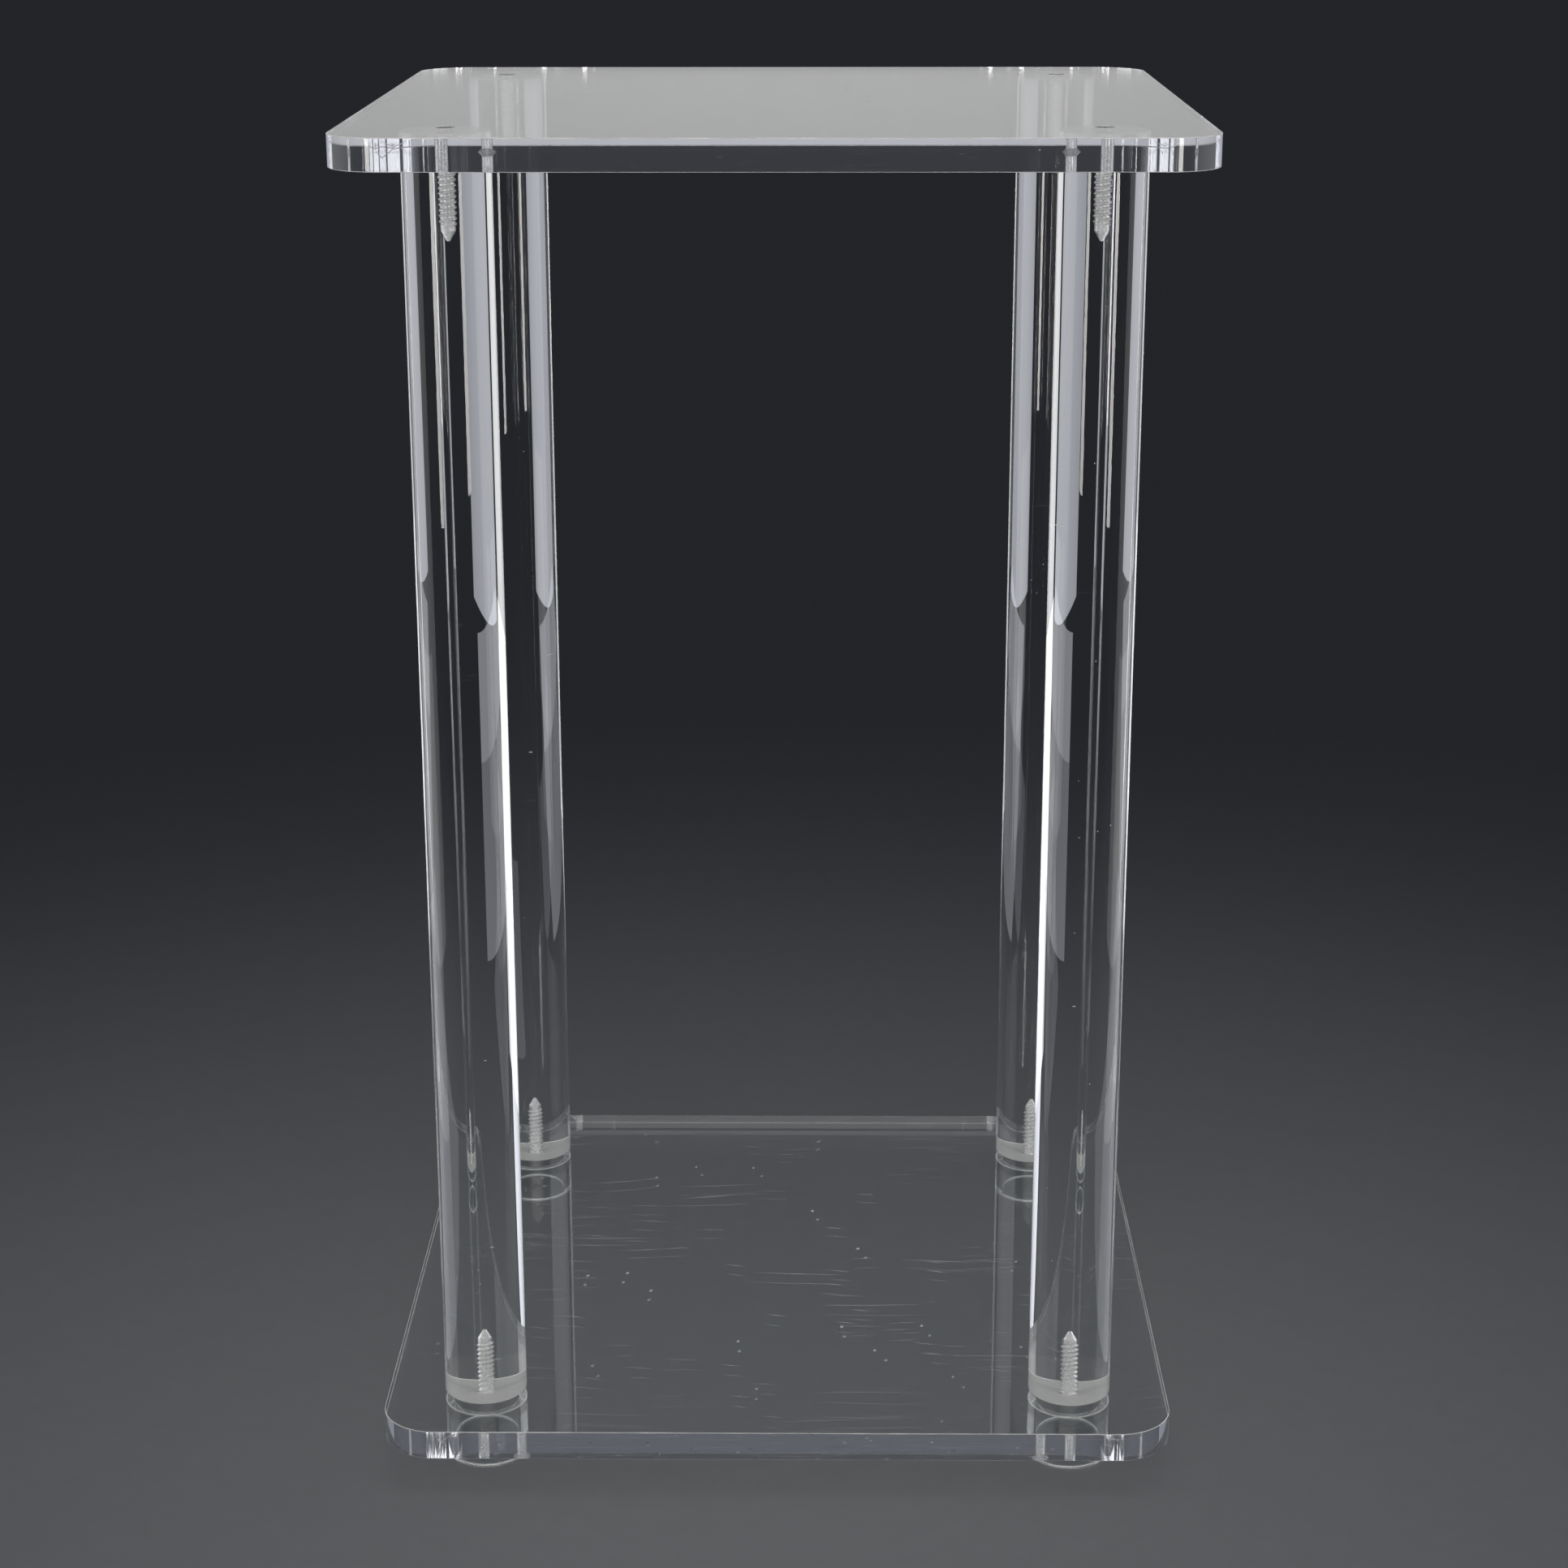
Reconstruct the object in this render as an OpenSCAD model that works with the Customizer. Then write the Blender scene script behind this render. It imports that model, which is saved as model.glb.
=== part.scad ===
// Open clear acrylic lectern stand. A square base plate on four ring feet carries four solid round
// posts, and the posts carry a square top plate. Eight countersunk screws hold the plates to the posts.
// Millimetres, +Z up, front towards -Y, origin on the floor under the middle of the stand.

/* [Plates] */
// Width and depth of the square top plate
top_width = 480; // [420:1:600]
// Width and depth of the square base plate
base_width = 477; // [420:1:600]
// Thickness of both plates
plate_thickness = 18; // [12:0.5:30]
// Radius of the plates' rounded corners, seen from above
corner_radius = 33; // [15:1:60]

/* [Posts] */
// Diameter of each solid round post
post_diameter = 50; // [30:1:60]
// Length of each post, between the plates
post_length = 745; // [300:5:1000]
// Distance between post axes, the same in width and depth
post_spacing = 359; // [250:1:370]
// Diameter of the tapped hole in a post end, at the thread crests of the screw
tapped_diameter = 7; // [6.8:0.1:10]
// Depth of the tapped hole, without its drill point
tapped_depth = 37; // [35:1:60]

/* [Screws] */
// Outside diameter of the screw thread
screw_diameter = 6.6; // [4:0.1:6.7]
// Length of a countersunk screw, head included
screw_length = 51; // [30:1:54]
// Diameter of the flat screw head
head_diameter = 11.4; // [10:0.1:16]
// Diameter of the clearance hole through a plate
clearance_diameter = 6.9; // [6.8:0.1:9]

/* [Feet] */
// Height of each ring foot
foot_height = 25; // [5:1:60]
// Inside diameter of each ring foot, open round the screw head
foot_bore = 40; // [20:1:44]

/* [Hidden] */
$fn = 96;

// Gap between a screw head and its countersink, all round
seat_gap = 0.1;
// Half of the included angle of the drill point, which is sharp because the drill is made for acrylic
drill_half_angle = 28;
// Flat left at the drill point
drill_flat = 1;
// Cross recess in the screw heads
recess_length = 6.4;
recess_width = 1.3;
recess_depth = 2.2;
// Chamfer on the screw tip
tip_chamfer = 0.8;
// How far a cutting shape runs past a face
cut = 1;

half_spacing = post_spacing / 2;
base_bottom = foot_height;
base_top = base_bottom + plate_thickness;
post_top = base_top + post_length;
top_surface = post_top + plate_thickness;
// A 90 degree head is as deep as its radius is larger than the thread's
head_depth = (head_diameter - screw_diameter) / 2;
seat_diameter = head_diameter + 2 * seat_gap;
seat_depth = (seat_diameter - clearance_diameter) / 2;
drill_depth = (tapped_diameter - drill_flat) / 2 / tan(drill_half_angle);
acrylic = [0.86, 0.9, 0.93, 0.45];
steel = [0.72, 0.73, 0.75];

// Moves its children to one post axis: side is -1 left or 1 right, row is -1 front or 1 back
module at_post(side, row) {
    translate([side * half_spacing, row * half_spacing, 0])
        children();
}

// Moves its children to all four post axes
module at_posts() {
    for (side = [-1, 1], row = [-1, 1])
        at_post(side, row)
            children();
}

// Turns its children upside down, with z = 0 becoming z = height
module flipped(height) {
    translate([0, 0, height])
        mirror([0, 0, 1])
            children();
}

// Square outline with true round corners
module rounded_square(width) {
    inner = width / 2 - corner_radius;
    square([width, 2 * inner], center = true);
    square([2 * inner, width], center = true);
    for (x = [-inner, inner], y = [-inner, inner])
        translate([x, y])
            circle(corner_radius);
}

// Clearance hole with its countersink opening upwards at z = 0
module screw_hole() {
    translate([0, 0, -plate_thickness - cut])
        cylinder(d = clearance_diameter, h = plate_thickness + 2 * cut);
    translate([0, 0, -seat_depth])
        cylinder(d1 = clearance_diameter, d2 = seat_diameter, h = seat_depth);
    cylinder(d = seat_diameter, h = cut);
}

// Tapped hole with a drill point, going down from z = 0
module tapped_hole() {
    translate([0, 0, -tapped_depth])
        cylinder(d = tapped_diameter, h = tapped_depth + cut);
    translate([0, 0, -tapped_depth - drill_depth])
        cylinder(d1 = drill_flat, d2 = tapped_diameter, h = drill_depth);
}

// Cross recess, cut down from z = 0
module cross_recess() {
    for (turn = [0, 90])
        rotate(turn)
            translate([-recess_length / 2, -recess_width / 2, -recess_depth])
                cube([recess_length, recess_width, recess_depth + cut]);
}

// Countersunk screw with the flat of its head at z = 0 and its tip below
module screw() {
    color(steel)
        difference() {
            union() {
                translate([0, 0, -head_depth])
                    cylinder(d1 = screw_diameter, d2 = head_diameter, h = head_depth);
                translate([0, 0, -screw_length + tip_chamfer])
                    cylinder(d = screw_diameter, h = screw_length - head_depth - tip_chamfer);
                translate([0, 0, -screw_length])
                    cylinder(d1 = screw_diameter - 2 * tip_chamfer, d2 = screw_diameter, h = tip_chamfer);
            }
            cross_recess();
        }
}

module top_plate() {
    color(acrylic)
        difference() {
            translate([0, 0, post_top])
                linear_extrude(plate_thickness)
                    rounded_square(top_width);
            translate([0, 0, top_surface])
                at_posts()
                    screw_hole();
        }
}

module base_plate() {
    color(acrylic)
        difference() {
            translate([0, 0, base_bottom])
                linear_extrude(plate_thickness)
                    rounded_square(base_width);
            at_posts()
                flipped(base_bottom)
                    screw_hole();
        }
}

module post(side, row) {
    color(acrylic)
        at_post(side, row)
            difference() {
                translate([0, 0, base_top])
                    cylinder(d = post_diameter, h = post_length);
                translate([0, 0, post_top])
                    tapped_hole();
                flipped(base_top)
                    tapped_hole();
            }
}

module top_screw(side, row) {
    at_post(side, row)
        translate([0, 0, top_surface])
            screw();
}

module base_screw(side, row) {
    at_post(side, row)
        flipped(base_bottom)
            screw();
}

module foot(side, row) {
    color(acrylic)
        at_post(side, row)
            difference() {
                cylinder(d = post_diameter, h = foot_height);
                translate([0, 0, -cut])
                    cylinder(d = foot_bore, h = foot_height + 2 * cut);
            }
}

top_plate();
base_plate();
post(-1, -1);  // post_front_left
post(1, -1);  // post_front_right
post(-1, 1);  // post_back_left
post(1, 1);  // post_back_right
top_screw(-1, -1);  // top_screw_front_left
top_screw(1, -1);  // top_screw_front_right
top_screw(-1, 1);  // top_screw_back_left
top_screw(1, 1);  // top_screw_back_right
base_screw(-1, -1);  // base_screw_front_left
base_screw(1, -1);  // base_screw_front_right
base_screw(-1, 1);  // base_screw_back_left
base_screw(1, 1);  // base_screw_back_right
foot(-1, -1);  // foot_front_left
foot(1, -1);  // foot_front_right
foot(-1, 1);  // foot_back_left
foot(1, 1);  // foot_back_right
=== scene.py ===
"""Clear acrylic lectern stand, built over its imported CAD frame. Metres, +Z up, front towards -Y."""

import math

import bmesh
import bpy
from mathutils import Matrix, Vector


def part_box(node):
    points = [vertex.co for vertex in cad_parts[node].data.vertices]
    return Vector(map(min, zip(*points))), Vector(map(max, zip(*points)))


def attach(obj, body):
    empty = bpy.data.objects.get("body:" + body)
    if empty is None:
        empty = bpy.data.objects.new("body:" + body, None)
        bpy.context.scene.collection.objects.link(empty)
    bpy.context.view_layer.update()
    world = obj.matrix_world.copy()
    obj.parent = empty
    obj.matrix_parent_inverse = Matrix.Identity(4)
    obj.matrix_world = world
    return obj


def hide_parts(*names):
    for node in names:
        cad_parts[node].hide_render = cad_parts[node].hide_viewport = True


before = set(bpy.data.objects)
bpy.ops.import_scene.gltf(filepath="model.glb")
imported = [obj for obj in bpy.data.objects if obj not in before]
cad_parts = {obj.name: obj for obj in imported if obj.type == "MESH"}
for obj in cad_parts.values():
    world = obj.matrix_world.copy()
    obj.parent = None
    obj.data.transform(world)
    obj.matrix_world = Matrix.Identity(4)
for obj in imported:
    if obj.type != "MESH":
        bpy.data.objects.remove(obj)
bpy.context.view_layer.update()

MM = 0.001
CORNERS = ("front_left", "front_right", "back_left", "back_right")

# Camera: where it stands, how it is turned (degrees) and its lens (mm on a 36 mm sensor)
CAMERA_PLACE = (0.0218, -1.9035, 0.9685)
CAMERA_PITCH, CAMERA_YAW, CAMERA_ROLL = 17.295, -0.569, -0.077
CAMERA_LENS = 71.53

# Clear acrylic: refraction, and the tints of faces, edges, cut rims, sawn ends and shadows
ACRYLIC_IOR = 1.49
CLEAR_TINT = (0.985, 0.992, 0.995)
EDGE_TINT = (0.91, 0.93, 1.0)
RIM_TINT = (1.0, 0.985, 0.95)
SAWN_TINT = (0.97, 0.97, 0.95)
SHADOW_TINT = (0.94, 0.95, 0.955)

# Mesh detail: steps round posts and feet, round holes and screws, per plate corner and per thread turn
ROUND = 96
HOLE_ROUND = 48
CORNER_STEPS = 24
RINGS_PER_TURN = 12

# Air left between pieces that touch, so that each keeps its own surface
AIR = 0.1 * MM

# Plates
CORNER_RADIUS = 33 * MM
PLATE_CHAMFER = 0.35 * MM
# A point this far before and after each corner arc keeps the shading of the straight sides flat
SUPPORT = 1.0 * MM
CLEARANCE_RADIUS = 3.45 * MM
SEAT_RADIUS = 5.8 * MM

# Posts and their tapped holes
POST_CHAMFER = 0.4 * MM
PILOT_RADIUS = 2.8 * MM
GROOVE_RADIUS = 3.5 * MM
THREAD_PITCH = 3.0 * MM
THREAD_DEPTH = 35 * MM
# A thread grows out of its wall, or runs out into it, over this length
THREAD_FADE = 2 * MM
# How steep a thread's flanks are: 1 fills the whole pitch, more leaves flat lands between the turns
FLANK_SLOPE = 1.5
CONE_START = 37 * MM
CONE_LENGTH = 5.6 * MM
CONE_TIP_RADIUS = 0.6 * MM
MOUTH_CHAMFER = 0.5 * MM
MOUTH_FLARE = 0.2 * MM

# Screws
CORE_RADIUS = 2.5 * MM
CREST_RADIUS = 3.25 * MM
NECK_RADIUS = 2.95 * MM
NECK_LENGTH = 6 * MM
NECK_RUNOUT = 0.6 * MM
# How far the head lies under the plate's face, and the upright edge round it
HEAD_SUNK = 0.35 * MM
HEAD_LAND = 0.25 * MM
HEAD_CHAMFER = 0.1 * MM
TIP_LENGTH = 1.6 * MM
TIP_RADIUS = 1.375 * MM
RECESS_REACH, RECESS_HALF = 3.2 * MM, 0.65 * MM
RECESS_DEPTH, RECESS_TAPER = 2.2 * MM, 0.55

# Feet
FOOT_BORE_RADIUS = 20 * MM
FOOT_CHAMFER = 0.6 * MM

# Hair scratches in the sheet faces. turns are their directions, row the distance between rows,
# and share how many places in a row hold one
LONG_SCRATCHES = {
    "turns": (0.15, 0.5, 2.2, 2.9),
    "row": 7 * MM,
    "length": 75 * MM,
    "width": 0.28 * MM,
    "share": 0.022,
}
SHORT_SCRATCHES = {
    "turns": (0.3, 0.9, 1.6, 2.6),
    "row": 4 * MM,
    "length": 26 * MM,
    "width": 0.3 * MM,
    "share": 0.018,
}
SHORT_STRENGTH = 0.7
# How many rows a scratch's line may wander, and how many scratch lengths a row may be shifted along
ROW_SWAY, ROW_SHIFT = 2.5, 9.0
# Rows are numbered from the first value, and from this much further on for each next direction
ROW_NUMBER, NEXT_DIRECTION = 40.0, 17.3
# Scratches are full up to the first distance from a plate's middle, and fade to the least at the second
SCRATCHED_NEAR, SCRATCHED_FAR, SCRATCHED_LEAST = 0.08, 0.27, 0.15
# How white scratches and dust look on each plate
TOP_WEAR, BASE_WEAR = 0.25, 1.0

# A plate's machining lines grow from faint to strong while the smaller of |x| and |y| goes from the first
# to the second of these, which is about where the round corners begin
CORNER_FROM, CORNER_TO = 0.195, 0.21
# How deep the fine marks in acrylic and in steel are
MARK_DEPTH = 0.05 * MM
STEEL_MARK_DEPTH = 0.02 * MM

# Floor
FLOOR_COLOUR = (0.6, 0.61, 0.63)
FLOOR_HALF = 20.0
FLOOR_DROP = 0.2 * MM

# Soft boxes: name, place, aim, width and height, brightness of the panel, spread in degrees, colour
WHITE = (1.0, 1.0, 1.0)
COOL = (0.9, 0.92, 1.0)
WARM = (1.0, 0.98, 0.95)
FLOOR_BOXES = (
    ("pool", (0, -0.35, 2.1), (0, -0.35, 0), (1.0, 0.9), 3.3, 74, WHITE),
)
STAND_BOXES = (
    ("crown", (0, 0, 2.2), (0, 0, 0), (1.4, 1.4), 2.4, 90, WHITE),
    ("side_left", (-1.05, -0.05, 0.585), (0, -0.05, 0.585), (1.04, 1.16), 1.3, 120, WHITE),
    ("side_right", (1.05, -0.05, 0.585), (0, -0.05, 0.585), (1.04, 1.16), 1.3, 120, WHITE),
    ("low_left", (-0.66, -0.03, 0.2), (0, -0.03, 0.2), (0.5, 0.38), 1.1, 140, WHITE),
    ("low_right", (0.66, -0.03, 0.2), (0, -0.03, 0.2), (0.5, 0.38), 1.1, 140, WHITE),
    ("fill_left", (-1.32, 1.54, 0.705), (0, 0, 0.705), (1.15, 1.4), 0.5, 100, COOL),
    ("fill_right", (1.32, 1.54, 0.705), (0, 0, 0.705), (1.15, 1.4), 0.5, 100, COOL),
    ("far_low", (0, 3.0, 1.12), (0, 0, 1.12), (3.2, 0.28), 0.56, 100, WHITE),
    ("far_high", (0, 3.0, 1.55), (0, 0, 0.6), (3.2, 0.56), 0.11, 100, COOL),
    ("front_left", (-1.5, -2.2, 0.6), (0, 0, 0.45), (0.36, 1.1), 16.0, 70, WARM),
    ("front_right", (1.5, -2.2, 0.6), (0, 0, 0.45), (0.36, 1.1), 16.0, 70, WARM),
)
# Panels that lie flat just over the floor and light the stand from below, all with one spread in degrees:
# name, place, turn about Z in degrees, length and width, brightness
CARD_SPREAD = 180
CARDS = (
    ("card_left", (-0.79, -0.06, 0.01), -35, (0.9, 0.5), 1.1),
    ("card_right", (0.79, -0.06, 0.01), 35, (0.9, 0.5), 1.1),
    ("near_card_left", (-0.942, 0.76, 0.01), -69, (0.6, 0.75), 0.12),
    ("near_card_right", (0.942, 0.76, 0.01), 69, (0.6, 0.75), 0.12),
    ("far_card_left", (-1.265, 1.252, 0.01), -69, (0.55, 1.0), 0.21),
    ("far_card_right", (1.265, 1.252, 0.01), 69, (0.55, 1.0), 0.21),
)
# The studio behind the lights: from the horizon down, and straight up
WORLD_LOW, WORLD_HIGH = (0.0145, 0.0153, 0.018), (0.034, 0.036, 0.042)

# How often light may bounce. Inside a plate it is reflected dozens of times, each a glossy bounce
BOUNCES = 44
GLOSSY_BOUNCES = 40
DIFFUSE_BOUNCES = 3
CLEAR_BOUNCES = 24


# ---------------------------------------------------------------- mesh tools


def ring(bm, z, radius, steps):
    """A ring of vertices round the Z axis. radius is a number, or a function of the angle."""
    verts = []
    for i in range(steps):
        angle = 2 * math.pi * i / steps
        r = radius(angle) if callable(radius) else radius
        verts.append(bm.verts.new((r * math.cos(angle), r * math.sin(angle), z)))
    return verts


def bridge(bm, first, second, slot, smooth=True):
    """Quads between two closed loops of the same length."""
    count = len(first)
    for i in range(count):
        j = (i + 1) % count
        face = bm.faces.new((first[i], first[j], second[j], second[i]))
        face.material_index = slot
        face.smooth = smooth


def crease(loop):
    """Marks a closed loop's edges as sharp."""
    for edge in loop_edges(loop):
        edge.smooth = False


def loop_edges(loop):
    """The edges between neighbouring vertices of a closed loop."""
    edges = []
    for i, vert in enumerate(loop):
        other = loop[(i + 1) % len(loop)]
        edges.append(next(e for e in vert.link_edges if e.other_vert(vert) == other))
    return edges


def fill(bm, loops, slot):
    """A flat face inside the first loop and outside the others."""
    edges = [e for loop in loops for e in loop_edges(loop)]
    made = bmesh.ops.triangle_fill(bm, use_beauty=True, use_dissolve=False, edges=edges)
    for item in made["geom"]:
        if isinstance(item, bmesh.types.BMFace):
            item.material_index = slot
            item.smooth = False


def revolve(bm, stations, steps):
    """Joins rings into a skin. A station is (radius, z, slot of the faces after it, sharp or not)."""
    rings = [ring(bm, z, radius, steps) for radius, z, _, _ in stations]
    for (_, _, slot, _), first, second in zip(stations, rings, rings[1:]):
        bridge(bm, first, second, slot)
    for (_, _, _, sharp), loop in zip(stations, rings):
        if sharp:
            crease(loop)
    return rings


def cap(bm, loop, slot):
    """Closes a ring with one flat face."""
    face = bm.faces.new(loop)
    face.material_index = slot
    face.smooth = False


def piece(name, bm, materials, place=(0, 0, 0), flipped=False):
    """Makes a mesh object from bm, turned over if flipped, moved to place and riding on the stand."""
    if flipped:
        bmesh.ops.transform(bm, matrix=Matrix.Rotation(math.pi, 4, "X"), verts=bm.verts)
    bmesh.ops.translate(bm, vec=Vector(place), verts=bm.verts)
    bmesh.ops.recalc_face_normals(bm, faces=bm.faces)
    mesh = bpy.data.meshes.new(name)
    bm.to_mesh(mesh)
    bm.free()
    for material in materials:
        mesh.materials.append(material)
    obj = bpy.data.objects.new(name, mesh)
    bpy.context.collection.objects.link(obj)
    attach(obj, "root")
    return obj


def middle(node):
    """The middle of a CAD node's box, in X and Y."""
    low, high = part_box(node)
    return (low[0] + high[0]) / 2, (low[1] + high[1]) / 2


# ---------------------------------------------------------------- plates


def rounded_square(width, radius):
    """Corner points of a square with round corners, with a support point either side of each arc."""
    points = []
    half = width / 2 - radius
    for quarter, (sx, sy) in enumerate(((1, 1), (-1, 1), (-1, -1), (1, -1))):
        start = math.pi / 2 * quarter
        arc = []
        for k in range(CORNER_STEPS + 1):
            angle = start + math.pi / 2 * k / CORNER_STEPS
            arc.append(Vector((sx * half + radius * math.cos(angle), sy * half + radius * math.sin(angle))))
        before = Vector((math.sin(start), -math.cos(start))) * SUPPORT
        after = Vector((-math.cos(start), -math.sin(start))) * SUPPORT
        points += [arc[0] + before, *arc, arc[-1] + after]
    return points


def plate_edge(bm, width, thick):
    """The edge of a plate with its chamfers. Gives the loops round the bottom and top faces."""
    levels = (
        (PLATE_CHAMFER, 0),
        (0, PLATE_CHAMFER),
        (0, thick - PLATE_CHAMFER),
        (PLATE_CHAMFER, thick),
    )
    loops = []
    for inset, z in levels:
        outline = rounded_square(width - 2 * inset, CORNER_RADIUS - inset)
        loops.append([bm.verts.new((x, y, z)) for x, y in outline])
    for first, second, slot in zip(loops, loops[1:], (3, 1, 3)):
        bridge(bm, first, second, slot)
    for loop in loops:
        crease(loop)
    return loops[0], loops[-1]


def plate_hole(bm, x, y, thick):
    """A clearance hole, countersunk from the top. Gives its bottom and top rings."""
    stations = (
        (CLEARANCE_RADIUS, 0, 2, True),
        (CLEARANCE_RADIUS, thick - (SEAT_RADIUS - CLEARANCE_RADIUS), 2, True),
        (SEAT_RADIUS, thick, 2, True),
    )
    rings = revolve(bm, stations, HOLE_ROUND)
    for loop in rings:
        bmesh.ops.translate(bm, vec=(x, y, 0), verts=loop)
    return rings[0], rings[-1]


def plate(name, node, heads_up, materials):
    """A plate with polished, chamfered edges and four countersunk holes, made with the heads' side up."""
    low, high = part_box(node)
    thick = high[2] - low[2]
    bm = bmesh.new()
    bottom, top = plate_edge(bm, high[0] - low[0], thick)
    rims = [[bottom], [top]]
    for corner in CORNERS:
        x, y = middle("post_" + corner)
        bottom, top = plate_hole(bm, x, y if heads_up else -y, thick)
        rims[0].append(bottom)
        rims[1].append(top)
    for group in rims:
        fill(bm, group, slot=0)
    place_z = low[2] if heads_up else high[2]
    obj = piece(name, bm, materials, (0, 0, place_z), flipped=not heads_up)
    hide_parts(node)
    return obj


# ---------------------------------------------------------------- posts


def thread_wave(z, angle):
    """How far out a right-hand thread stands at this height and angle, from 0 to 1."""
    turn = (z / THREAD_PITCH - angle / (2 * math.pi)) % 1.0
    return max(0.0, 1 - FLANK_SLOPE * abs(2 * turn - 1))


def thread_ring(z, low, high, strength):
    """The radius round a thread as a function of the angle."""
    return lambda angle: low + (high - low) * strength * thread_wave(z, angle)


def hole_stations(mouth, way):
    """Stations from the mouth of a tapped hole to its drill tip. way is 1 up into the post, -1 down."""
    stations = [(GROOVE_RADIUS + MOUTH_FLARE, mouth, 2, True)]
    threaded = THREAD_DEPTH - MOUTH_CHAMFER
    rings = round(threaded / THREAD_PITCH * RINGS_PER_TURN)
    for k in range(rings + 1):
        depth = MOUTH_CHAMFER + threaded * k / rings
        strength = min(1.0, (THREAD_DEPTH - depth) / THREAD_FADE)
        z = mouth + way * depth
        stations.append((thread_ring(z, PILOT_RADIUS, GROOVE_RADIUS, strength), z, 2, k == 0))
    stations.append((PILOT_RADIUS, mouth + way * CONE_START, 2, True))
    stations.append((CONE_TIP_RADIUS, mouth + way * (CONE_START + CONE_LENGTH), 2, True))
    return stations


def post(corner, materials):
    """A solid round post with matt sawn ends and a tapped, drill-pointed hole in each."""
    node = "post_" + corner
    low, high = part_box(node)
    radius = (high[0] - low[0]) / 2
    bottom = low[2] + AIR
    top = high[2] - AIR
    bm = bmesh.new()
    stations = hole_stations(top, -1)[::-1]
    stations[-1] = (GROOVE_RADIUS + MOUTH_FLARE, top, 1, True)
    stations += [
        (radius - POST_CHAMFER, top, 3, True),
        (radius, top - POST_CHAMFER, 0, True),
        (radius, bottom + POST_CHAMFER, 3, True),
        (radius - POST_CHAMFER, bottom, 1, True),
    ]
    stations += hole_stations(bottom, 1)
    rings = revolve(bm, stations, ROUND)
    cap(bm, rings[0], 2)
    cap(bm, rings[-1], 2)
    x, y = middle(node)
    obj = piece("clear_" + node, bm, materials, (x, y, 0))
    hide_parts(node)
    return obj


# ---------------------------------------------------------------- screws


def cross(reach, half):
    """Outline points of a cross."""
    points = []
    for quarter in range(4):
        turn = Matrix.Rotation(math.pi / 2 * quarter, 2)
        points += [turn @ Vector((half, -half)), turn @ Vector((reach, -half)), turn @ Vector((reach, half))]
    return points


def screw_stations(head, way, length, head_radius):
    """Stations from the top of a screw's head at z = 0 to its tip. head is where the top is in the stand."""
    cone_end = HEAD_LAND + head_radius - NECK_RADIUS
    thread_start = cone_end + NECK_LENGTH
    thread_end = length - TIP_LENGTH
    stations = [
        (head_radius - HEAD_CHAMFER, 0, 1, True),
        (head_radius, -HEAD_LAND, 1, True),
        (NECK_RADIUS, -cone_end, 0, True),
        (NECK_RADIUS, -thread_start + NECK_RUNOUT, 0, True),
    ]
    rings = round((thread_end - thread_start) / THREAD_PITCH * RINGS_PER_TURN)
    for k in range(rings + 1):
        depth = thread_start + (thread_end - thread_start) * k / rings
        strength = min(1.0, (depth - thread_start) / THREAD_FADE, (thread_end - depth) / THREAD_FADE)
        wave = thread_ring(head - way * depth, CORE_RADIUS, CREST_RADIUS, strength)
        if way < 0:
            wave = flipped_angle(wave)
        stations.append((wave, -depth, 0, k in (0, rings)))
    stations.append((TIP_RADIUS, -length, 0, True))
    return stations


def flipped_angle(wave):
    """The same thread for a piece that is turned over about the X axis afterwards."""
    return lambda angle: wave(-angle)


def screw(node, head_up, materials):
    """A countersunk screw: flat head with a cross recess, plain neck, coarse thread and blunt tip."""
    low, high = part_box(node)
    way = 1 if head_up else -1
    head = (high[2] if head_up else low[2]) - way * HEAD_SUNK
    length = high[2] - low[2] - HEAD_SUNK
    head_radius = (high[0] - low[0]) / 2 - HEAD_SUNK - HEAD_LAND
    bm = bmesh.new()
    loops = revolve(bm, screw_stations(head, way, length, head_radius), HOLE_ROUND)
    cap(bm, loops[-1], 0)
    top = [bm.verts.new((x, y, 0)) for x, y in cross(RECESS_REACH, RECESS_HALF)]
    inner = cross(RECESS_REACH * RECESS_TAPER, RECESS_HALF * RECESS_TAPER)
    floor = [bm.verts.new((x, y, -RECESS_DEPTH)) for x, y in inner]
    bridge(bm, top, floor, 1, smooth=False)
    cap(bm, floor, 1)
    fill(bm, [loops[0], top], slot=1)
    x, y = middle(node)
    obj = piece("steel_" + node, bm, materials, (x, y, head), flipped=not head_up)
    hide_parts(node)
    return obj


# ---------------------------------------------------------------- feet


def foot(corner, materials):
    """A ring foot: a slice of clear tube with polished, chamfered ends."""
    node = "foot_" + corner
    low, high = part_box(node)
    outer = (high[0] - low[0]) / 2
    bottom, top = low[2], high[2] - AIR
    inner = FOOT_BORE_RADIUS
    bm = bmesh.new()
    stations = [
        (outer - FOOT_CHAMFER, bottom, 2, True),
        (outer, bottom + FOOT_CHAMFER, 0, True),
        (outer, top - FOOT_CHAMFER, 2, True),
        (outer - FOOT_CHAMFER, top, 1, True),
        (inner + FOOT_CHAMFER, top, 2, True),
        (inner, top - FOOT_CHAMFER, 0, True),
        (inner, bottom + FOOT_CHAMFER, 2, True),
        (inner + FOOT_CHAMFER, bottom, 1, True),
    ]
    rings = revolve(bm, stations, ROUND)
    bridge(bm, rings[-1], rings[0], 1)
    x, y = middle(node)
    obj = piece("clear_" + node, bm, materials, (x, y, 0))
    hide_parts(node)
    return obj


# ---------------------------------------------------------------- material tools


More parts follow.
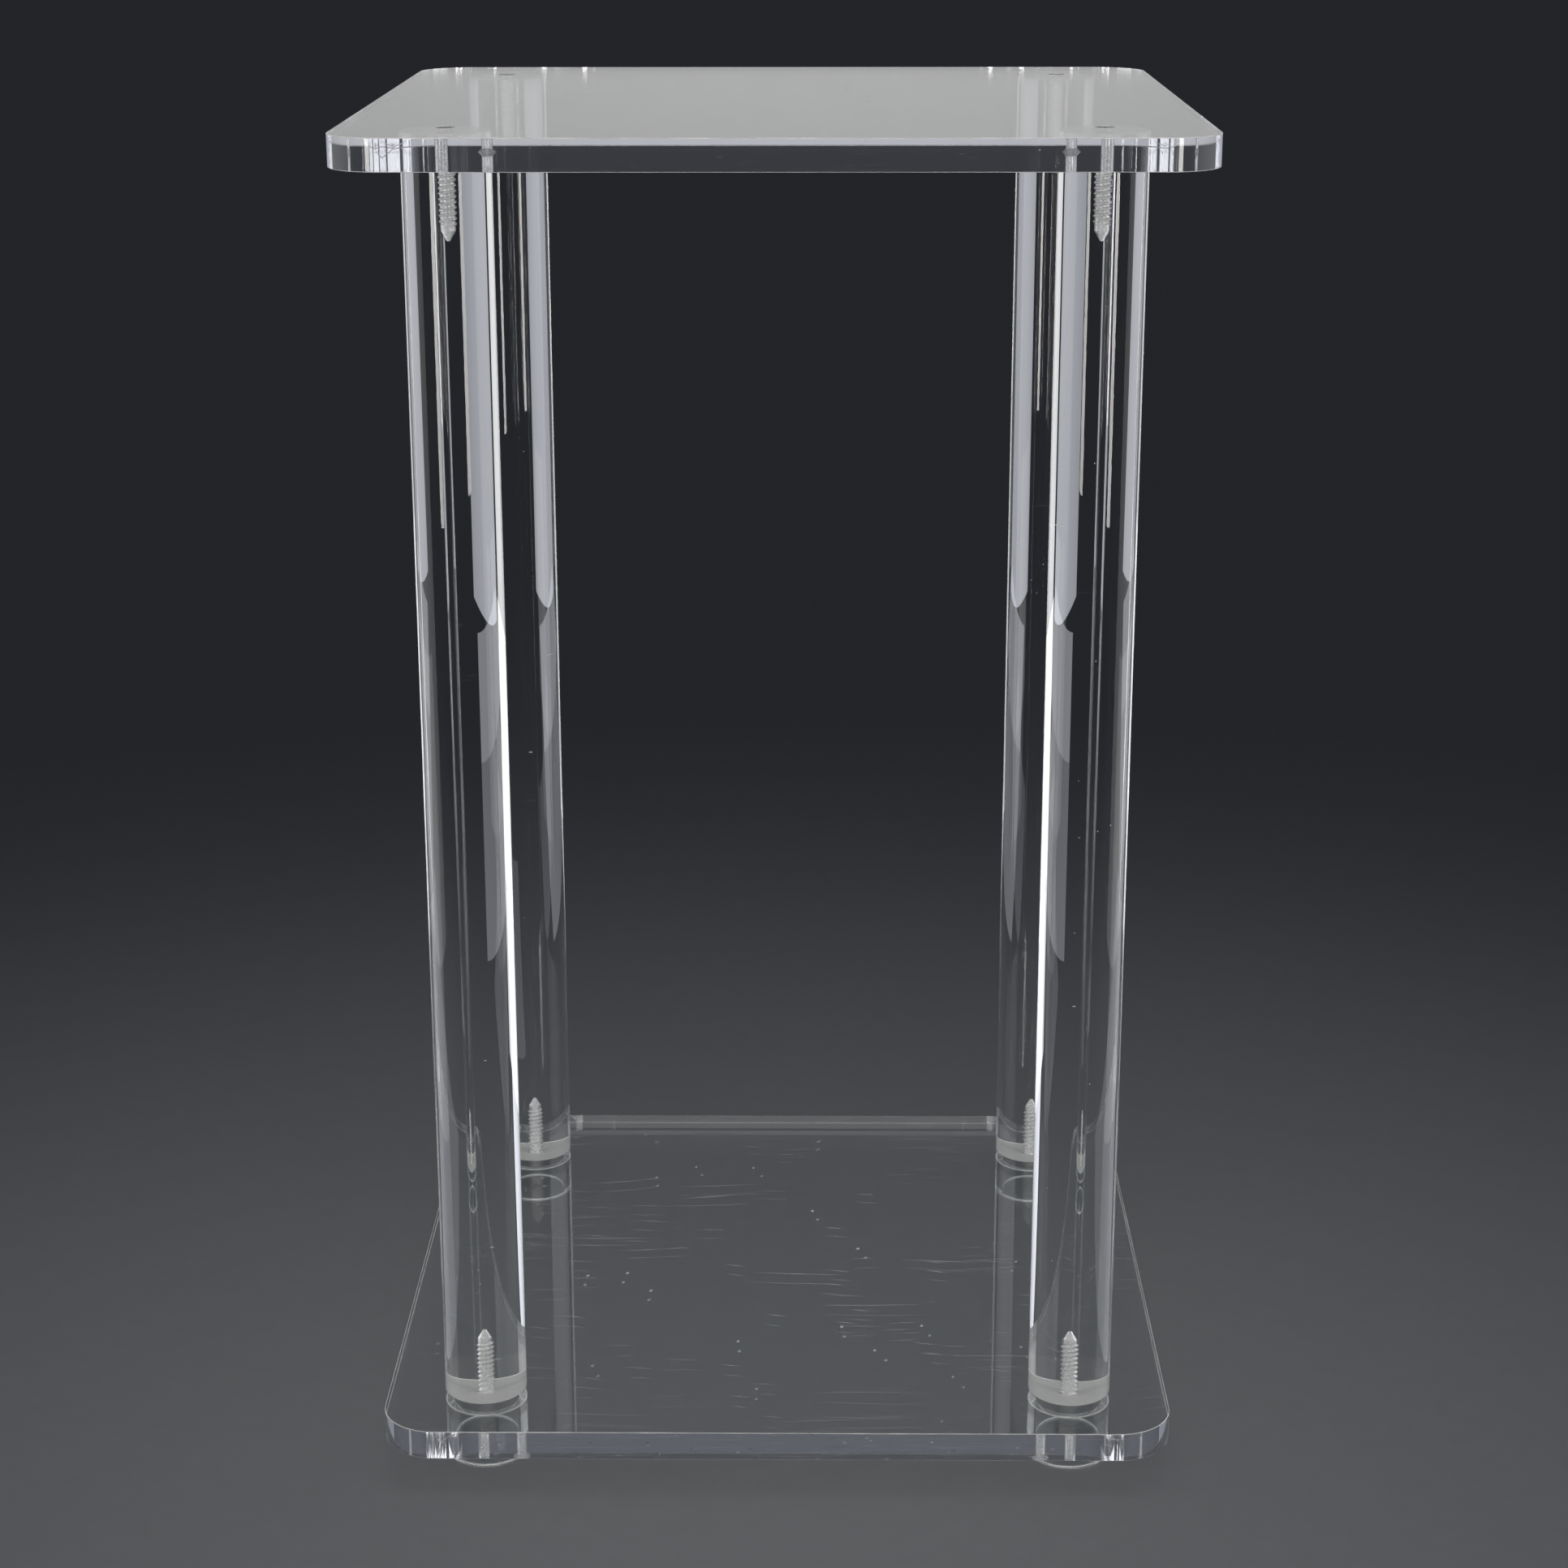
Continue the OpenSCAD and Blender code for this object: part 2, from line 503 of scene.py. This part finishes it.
class Shade:
    """Builds one material's nodes. Values are numbers, colours or the output sockets of other nodes."""

    def __init__(self, name):
        self.material = bpy.data.materials.new(name)
        self.material.use_nodes = True
        self.nodes = self.material.node_tree.nodes
        self.links = self.material.node_tree.links
        self.nodes.clear()
        self.place = self.add("ShaderNodeTexCoord").outputs["Object"]

    def add(self, kind, inputs=None, **settings):
        """A new node, with its inputs fed and its settings set."""
        node = self.nodes.new(kind)
        for key, value in settings.items():
            setattr(node, key, value)
        for key, value in (inputs or {}).items():
            self.feed(node.inputs[key], value)
        return node

    def feed(self, socket, value):
        """Links a socket to another node's output, or sets its value."""
        if isinstance(value, bpy.types.NodeSocket):
            self.links.new(value, socket)
        else:
            socket.default_value = value

    def math(self, operation, first, second=0.0, clamp=False):
        node = self.add("ShaderNodeMath", {0: first, 1: second}, operation=operation, use_clamp=clamp)
        return node.outputs[0]

    def stretched(self, scale, turn=0.0):
        """The object's coordinates, turned about Z and scaled along each axis."""
        node = self.add("ShaderNodeMapping", {"Vector": self.place, "Rotation": (0, 0, turn), "Scale": scale})
        return node.outputs["Vector"]

    def noise(self, vector, scale, detail=2.0, roughness=0.5):
        inputs = {"Vector": vector, "Scale": scale, "Detail": detail, "Roughness": roughness}
        return self.add("ShaderNodeTexNoise", inputs).outputs["Fac"]

    def spread(self, value, low, high, to_low=0.0, to_high=1.0):
        """Maps value from low..high to to_low..to_high, held at both ends."""
        node = self.add(
            "ShaderNodeMapRange",
            {"Value": value, "From Min": low, "From Max": high, "To Min": to_low, "To Max": to_high},
        )
        return node.outputs["Result"]

    def specks(self, scale, size, share):
        """Small round specks: dust, pits or bubbles. share is how many of the cells hold one."""
        cells = self.add("ShaderNodeTexVoronoi", {"Vector": self.place, "Scale": scale})
        dot = self.math("LESS_THAN", cells.outputs["Distance"], size)
        chance = self.add("ShaderNodeSeparateColor", {"Color": cells.outputs["Color"]}).outputs[0]
        return self.math("MULTIPLY", dot, self.math("LESS_THAN", chance, share))

    def scratches(self, turns, row, length, width, share):
        """Short, nearly straight hair scratches, in rows along several directions and faded at both ends.

        row is the distance between rows, and share is how many places in a row hold a scratch."""
        total = None
        for k, turn in enumerate(turns):
            mark = self.scratch_rows(k, turn, row, length, width, share)
            total = mark if total is None else self.math("MAXIMUM", total, mark)
        return total

    def scratch_rows(self, k, turn, row, length, width, share):
        """The scratches along one direction. k tells the directions apart."""
        place = self.stretched((1 / length, 1 / row, 1), turn)
        parts = self.add("ShaderNodeSeparateXYZ", {"Vector": place})
        sway = self.math("MULTIPLY", self.noise(self.place, 7.0 + k, detail=0.0), ROW_SWAY)
        first = ROW_NUMBER + NEXT_DIRECTION * k
        across = self.math("ADD", self.math("ADD", parts.outputs["Y"], sway), first)
        line = self.math("FLOOR", across)
        start = self.add("ShaderNodeTexWhiteNoise", {"W": line}, noise_dimensions="1D").outputs["Value"]
        along = self.math("ADD", parts.outputs["X"], self.math("MULTIPLY", start, ROW_SHIFT))
        cell = self.add("ShaderNodeCombineXYZ", {"X": line, "Y": self.math("FLOOR", along)}).outputs[0]
        pick = self.add("ShaderNodeTexWhiteNoise", {"Vector": cell}, noise_dimensions="3D").outputs["Value"]
        off = self.math("ABSOLUTE", self.math("SUBTRACT", self.math("FRACT", across), 0.5))
        ends = self.math("MULTIPLY", self.math("PINGPONG", along, 0.5), 2.0)
        stroke = self.math("MULTIPLY", self.math("LESS_THAN", off, width / row / 2), ends)
        return self.math("MULTIPLY", stroke, self.math("LESS_THAN", pick, share))

    def blend(self, factor, first, second):
        node = self.add("ShaderNodeMix", data_type="RGBA")
        self.feed(node.inputs["Factor"], factor)
        colours = [socket for socket in node.inputs if socket.type == "RGBA"]
        colours[0].default_value = (*first, 1.0)
        colours[1].default_value = (*second, 1.0)
        return next(socket for socket in node.outputs if socket.type == "RGBA")

    def bump(self, height, strength, distance):
        node = self.add("ShaderNodeBump", {"Height": height, "Strength": strength, "Distance": distance})
        return node.outputs["Normal"]

    def finish(self, surface):
        output = self.add("ShaderNodeOutputMaterial")
        self.links.new(surface, output.inputs["Surface"])
        return self.material

    def acrylic(self, roughness, haze, normal=None, tint=CLEAR_TINT):
        """Clear acrylic. haze, 0 to 1, is how white and cloudy it is. Lamps shine through it."""
        inputs = {
            "Base Color": (*tint, 1.0),
            "Roughness": roughness,
            "IOR": ACRYLIC_IOR,
            "Transmission Weight": self.math("SUBTRACT", 1.0, haze, clamp=True),
        }
        if normal is not None:
            inputs["Normal"] = normal
        body = self.add("ShaderNodeBsdfPrincipled", inputs)
        through = self.add("ShaderNodeBsdfTransparent", {"Color": (*SHADOW_TINT, 1.0)})
        path = self.add("ShaderNodeLightPath")
        mix = self.add(
            "ShaderNodeMixShader",
            {0: path.outputs["Is Shadow Ray"], 1: body.outputs[0], 2: through.outputs[0]},
        )
        return self.finish(mix.outputs[0])


# ---------------------------------------------------------------- materials


def sheet_face(name, wear):
    """Polished sheet face: a few hair scratches, most in the middle, with faint smears and dust."""
    s = Shade(name)
    long = s.scratches(**LONG_SCRATCHES)
    short = s.scratches(**SHORT_SCRATCHES)
    marks = s.math("MAXIMUM", long, s.math("MULTIPLY", short, SHORT_STRENGTH))
    away = s.add("ShaderNodeVectorMath", {0: s.stretched((1, 1, 0))}, operation="LENGTH").outputs["Value"]
    marks = s.math("MULTIPLY", marks, s.spread(away, SCRATCHED_NEAR, SCRATCHED_FAR, 1.0, SCRATCHED_LEAST))
    dust = s.specks(scale=520.0, size=0.09, share=0.012)
    smear = s.spread(s.noise(s.stretched((4, 1.5, 1), 0.4), 6.0, detail=4.0), 0.5, 0.8)
    rough = s.math("ADD", s.math("MULTIPLY", smear, 0.02), s.math("MULTIPLY", marks, 0.3))
    haze = s.math("MULTIPLY", s.math("MAXIMUM", marks, dust), wear)
    return s.acrylic(s.math("ADD", rough, 0.006), haze)


def sheet_edge():
    """Polished sheet edge: fine upright machining lines, stronger on the round corners."""
    s = Shade("sheet_edge")
    parts = s.add("ShaderNodeSeparateXYZ", {"Vector": s.place})
    far_x = s.math("ABSOLUTE", parts.outputs["X"])
    far_y = s.math("ABSOLUTE", parts.outputs["Y"])
    corner = s.spread(s.math("MINIMUM", far_x, far_y), CORNER_FROM, CORNER_TO)
    lines = s.noise(s.stretched((1, 1, 0.02)), 520.0, detail=2.0)
    broad = s.noise(s.stretched((1, 1, 0.01)), 90.0, detail=2.0)
    height = s.math("ADD", lines, s.math("MULTIPLY", broad, 2.0))
    strength = s.spread(corner, 0.0, 1.0, 0.01, 0.16)
    height = s.math("MULTIPLY", height, strength)
    rough = s.math("ADD", s.math("MULTIPLY", strength, 0.12), 0.01)
    nicks = s.specks(scale=300.0, size=0.12, share=0.02)
    haze = s.math("ADD", s.math("MULTIPLY", nicks, 0.5), 0.03)
    return s.acrylic(rough, haze, s.bump(height, 0.5, MARK_DEPTH), EDGE_TINT)


def cut_rim():
    """Narrow chamfer left as it was cut: a fine frosted line that catches the light."""
    s = Shade("cut_rim")
    grain = s.noise(s.place, 800.0, detail=3.0)
    along = s.noise(s.place, 45.0, detail=2.0)
    haze = s.math("MULTIPLY", s.spread(grain, 0.3, 0.7, 0.5, 0.95), s.spread(along, 0.35, 0.65, 0.55, 1.0))
    return s.acrylic(s.spread(grain, 0.3, 0.7, 0.3, 0.5), haze, s.bump(grain, 0.4, MARK_DEPTH), RIM_TINT)


def drilled(name, roughness, ring_scale, cloud):
    """Wall of a drilled or tapped hole: finely ringed and a little cloudy, so it looks silvery."""
    s = Shade(name)
    rings = s.noise(s.stretched((0.2, 0.2, 1)), ring_scale, detail=2.0)
    grain = s.noise(s.place, 900.0, detail=3.0)
    height = s.math("ADD", rings, s.math("MULTIPLY", grain, 0.4))
    rough = s.spread(grain, 0.3, 0.7, roughness * 0.6, roughness * 1.4)
    haze = s.spread(grain, 0.3, 0.7, cloud * 0.35, cloud)
    return s.acrylic(rough, haze, s.bump(height, 0.35, MARK_DEPTH))


def post_side():
    """Polished rod: very slight waves along it, faint upright draw lines, a little dust."""
    s = Shade("post_side")
    waves = s.noise(s.stretched((1, 1, 0.35)), 14.0, detail=2.0)
    lines = s.noise(s.stretched((1, 1, 0.015)), 420.0, detail=1.0)
    height = s.math("ADD", waves, s.math("MULTIPLY", lines, 0.003))
    dust = s.specks(scale=260.0, size=0.1, share=0.02)
    scuffs = s.spread(s.noise(s.stretched((1, 1, 4)), 35.0, detail=5.0, roughness=0.7), 0.66, 0.74)
    rough = s.math("ADD", s.math("MULTIPLY", scuffs, 0.1), 0.004)
    haze = s.math("ADD", s.math("MULTIPLY", dust, 0.7), s.math("MULTIPLY", scuffs, 0.03))
    return s.acrylic(rough, haze, s.bump(height, 0.5, MARK_DEPTH))


def post_end():
    """Sawn post end: matt and whitish, with faint saw lines."""
    s = Shade("post_end")
    saw = s.noise(s.stretched((0.05, 1, 1), 0.5), 900.0, detail=2.0)
    grain = s.noise(s.place, 1500.0, detail=3.0)
    haze = s.spread(grain, 0.3, 0.7, 0.85, 1.0)
    rough = s.spread(saw, 0.3, 0.7, 0.5, 0.75)
    height = s.math("ADD", saw, s.math("MULTIPLY", grain, 0.5))
    return s.acrylic(rough, haze, s.bump(height, 0.6, 2 * MARK_DEPTH), SAWN_TINT)


def foot_side():
    """Clear tube wall with faint scuffs."""
    s = Shade("foot_side")
    scuffs = s.spread(s.noise(s.stretched((1, 1, 3)), 60.0, detail=4.0), 0.55, 0.8)
    rough = s.math("ADD", s.math("MULTIPLY", scuffs, 0.08), 0.01)
    haze = s.math("MULTIPLY", s.specks(scale=350.0, size=0.12, share=0.05), 0.5)
    return s.acrylic(rough, haze)


def foot_end():
    """Cut tube end: finely grained, nearly polished."""
    s = Shade("foot_end")
    grain = s.noise(s.place, 700.0, detail=3.0)
    rough = s.spread(grain, 0.3, 0.7, 0.08, 0.2)
    haze = s.spread(grain, 0.4, 0.7, 0.03, 0.1)
    return s.acrylic(rough, haze, s.bump(grain, 0.2, MARK_DEPTH))


def steel(name, light, dark, dullness):
    """Zinc-plated steel with fine turning lines and duller patches. light and dark are the grey's ends; for
    the screw heads they are set low, a painted dark reflection.
    """
    s = Shade(name)
    lines = s.noise(s.stretched((0.3, 0.3, 1)), 2500.0, detail=1.0)
    patches = s.noise(s.place, 260.0, detail=4.0)
    rough = s.spread(patches, 0.35, 0.65, dullness, dullness + 0.18)
    shade = s.blend(patches, (light, light, light * 1.02), (dark, dark, dark * 1.02))
    inputs = {
        "Base Color": shade,
        "Metallic": 1.0,
        "Roughness": rough,
        "Normal": s.bump(lines, 0.15, STEEL_MARK_DEPTH),
    }
    return s.finish(s.add("ShaderNodeBsdfPrincipled", inputs).outputs[0])


def floor_surface():
    """A plain pale floor with a soft sheen and a trace of unevenness."""
    s = Shade("floor_pale")
    grain = s.noise(s.place, 60.0, detail=3.0)
    shade = s.blend(s.spread(grain, 0.3, 0.7), FLOOR_COLOUR, [c * 0.97 for c in FLOOR_COLOUR])
    rough = s.spread(grain, 0.3, 0.7, 0.68, 0.74)
    body = s.add("ShaderNodeBsdfPrincipled", {"Base Color": shade, "Roughness": rough})
    return s.finish(body.outputs[0])


# ---------------------------------------------------------------- stage, lights and camera


def stage_floor():
    """A plain floor, just under the feet."""
    corners = ((-1, -1), (1, -1), (1, 1), (-1, 1))
    mesh = bpy.data.meshes.new("floor")
    mesh.from_pydata([(x * FLOOR_HALF, y * FLOOR_HALF, -FLOOR_DROP) for x, y in corners], [], [(0, 1, 2, 3)])
    mesh.materials.append(floor_surface())
    floor = bpy.data.objects.new("floor", mesh)
    bpy.context.collection.objects.link(floor)


def spread_share(spread):
    """The share of a panel's power that it keeps when its light is limited to this spread."""
    half = math.radians(spread / 2)
    return math.sin(half) ** 2 - (half - math.sin(2 * half) / 2) / math.tan(half)


def facing(place, aim):
    """The rotation of a lamp at place that points at aim with its width level."""
    return (Vector(aim) - Vector(place)).to_track_quat("-Z", "Y").to_euler()


def panel(name, place, rotation, size, brightness, spread, colour):
    """A rectangular soft light. brightness is how bright its face looks."""
    data = bpy.data.lights.new(name, "AREA")
    data.shape = "RECTANGLE"
    data.size, data.size_y = size
    data.energy = brightness * math.pi * size[0] * size[1] * spread_share(spread)
    data.spread = math.radians(spread)
    data.color = colour
    lamp = bpy.data.objects.new(name, data)
    lamp.location = place
    lamp.rotation_euler = rotation
    lamp.visible_camera = False
    bpy.context.collection.objects.link(lamp)
    return lamp


def lights(pieces):
    """Lights the stand and the floor apart: the boxes that model the stand are linked to its pieces."""
    stand = bpy.data.collections.new("stand_lit")
    for obj in pieces:
        stand.objects.link(obj)
    for name, place, aim, *look in STAND_BOXES:
        panel(name, place, facing(place, aim), *look).light_linking.receiver_collection = stand
    for name, place, turn, size, brightness in CARDS:
        rotation = (math.pi, 0, math.radians(turn))
        card = panel(name, place, rotation, size, brightness, CARD_SPREAD, COOL)
        card.light_linking.receiver_collection = stand
    for name, place, aim, *look in FLOOR_BOXES:
        panel(name, place, facing(place, aim), *look)


def studio():
    """A dim world that is a little lighter overhead."""
    world = bpy.data.worlds.new("studio")
    world.use_nodes = True
    tree = world.node_tree
    parts = tree.nodes.new("ShaderNodeSeparateXYZ")
    ramp = tree.nodes.new("ShaderNodeValToRGB")
    ramp.color_ramp.elements[0].color = (*WORLD_LOW, 1)
    ramp.color_ramp.elements[1].color = (*WORLD_HIGH, 1)
    tree.links.new(tree.nodes.new("ShaderNodeTexCoord").outputs["Generated"], parts.inputs[0])
    tree.links.new(parts.outputs["Z"], ramp.inputs["Fac"])
    tree.links.new(ramp.outputs["Color"], tree.nodes["Background"].inputs["Color"])
    bpy.context.scene.world = world


def camera():
    """The camera, placed and turned as the values at the top say."""
    pitch, yaw, roll = (math.radians(v) for v in (CAMERA_PITCH, CAMERA_YAW, CAMERA_ROLL))
    ahead = Vector((math.sin(yaw) * math.cos(pitch), math.cos(yaw) * math.cos(pitch), -math.sin(pitch)))
    right = ahead.cross(Vector((0, 0, 1))).normalized()
    up = right.cross(ahead)
    right, up = right * math.cos(roll) + up * math.sin(roll), up * math.cos(roll) - right * math.sin(roll)
    data = bpy.data.cameras.new("camera")
    data.lens = CAMERA_LENS
    data.sensor_width = 36
    obj = bpy.data.objects.new("camera", data)
    turn = Matrix((right, up, -ahead)).transposed().to_4x4()
    obj.matrix_world = Matrix.Translation(CAMERA_PLACE) @ turn
    bpy.context.collection.objects.link(obj)
    bpy.context.scene.camera = obj


def light_paths():
    """Enough bounces for clear acrylic, no caustics, and plain display colours."""
    scene = bpy.context.scene
    scene.cycles.max_bounces = BOUNCES
    scene.cycles.transmission_bounces = BOUNCES
    scene.cycles.glossy_bounces = GLOSSY_BOUNCES
    scene.cycles.diffuse_bounces = DIFFUSE_BOUNCES
    scene.cycles.transparent_max_bounces = CLEAR_BOUNCES
    scene.cycles.caustics_reflective = False
    scene.cycles.caustics_refractive = False
    scene.view_settings.view_transform = "Standard"


def build():
    """The whole scene: camera, pieces, floor and light."""
    camera()
    edge = sheet_edge()
    rim = cut_rim()
    bored = drilled("sheet_drilled", roughness=0.18, ring_scale=1200.0, cloud=0.8)
    top_materials = [sheet_face("top_face", TOP_WEAR), edge, bored, rim]
    base_materials = [sheet_face("base_face", BASE_WEAR), edge, bored, rim]
    side = post_side()
    end = post_end()
    tapped = drilled("post_tapped", roughness=0.14, ring_scale=900.0, cloud=0.9)
    post_materials = [side, end, tapped, rim]
    foot_materials = [foot_side(), foot_end(), rim]
    shank = steel("screw_shank", light=0.86, dark=0.66, dullness=0.22)
    # The heads are the same zinc steel made much darker: painted shade standing in for the dark surroundings
    # their polished faces reflect
    head = steel("screw_head_painted_dark", light=0.34, dark=0.14, dullness=0.3)
    screw_materials = [shank, head]
    pieces = [
        plate("clear_top_plate", "top_plate", True, top_materials),
        plate("clear_base_plate", "base_plate", False, base_materials),
    ]
    for corner in CORNERS:
        pieces.append(post(corner, post_materials))
        pieces.append(foot(corner, foot_materials))
        pieces.append(screw("top_screw_" + corner, True, screw_materials))
        pieces.append(screw("base_screw_" + corner, False, screw_materials))
    stage_floor()
    lights(pieces)
    studio()
    light_paths()


build()
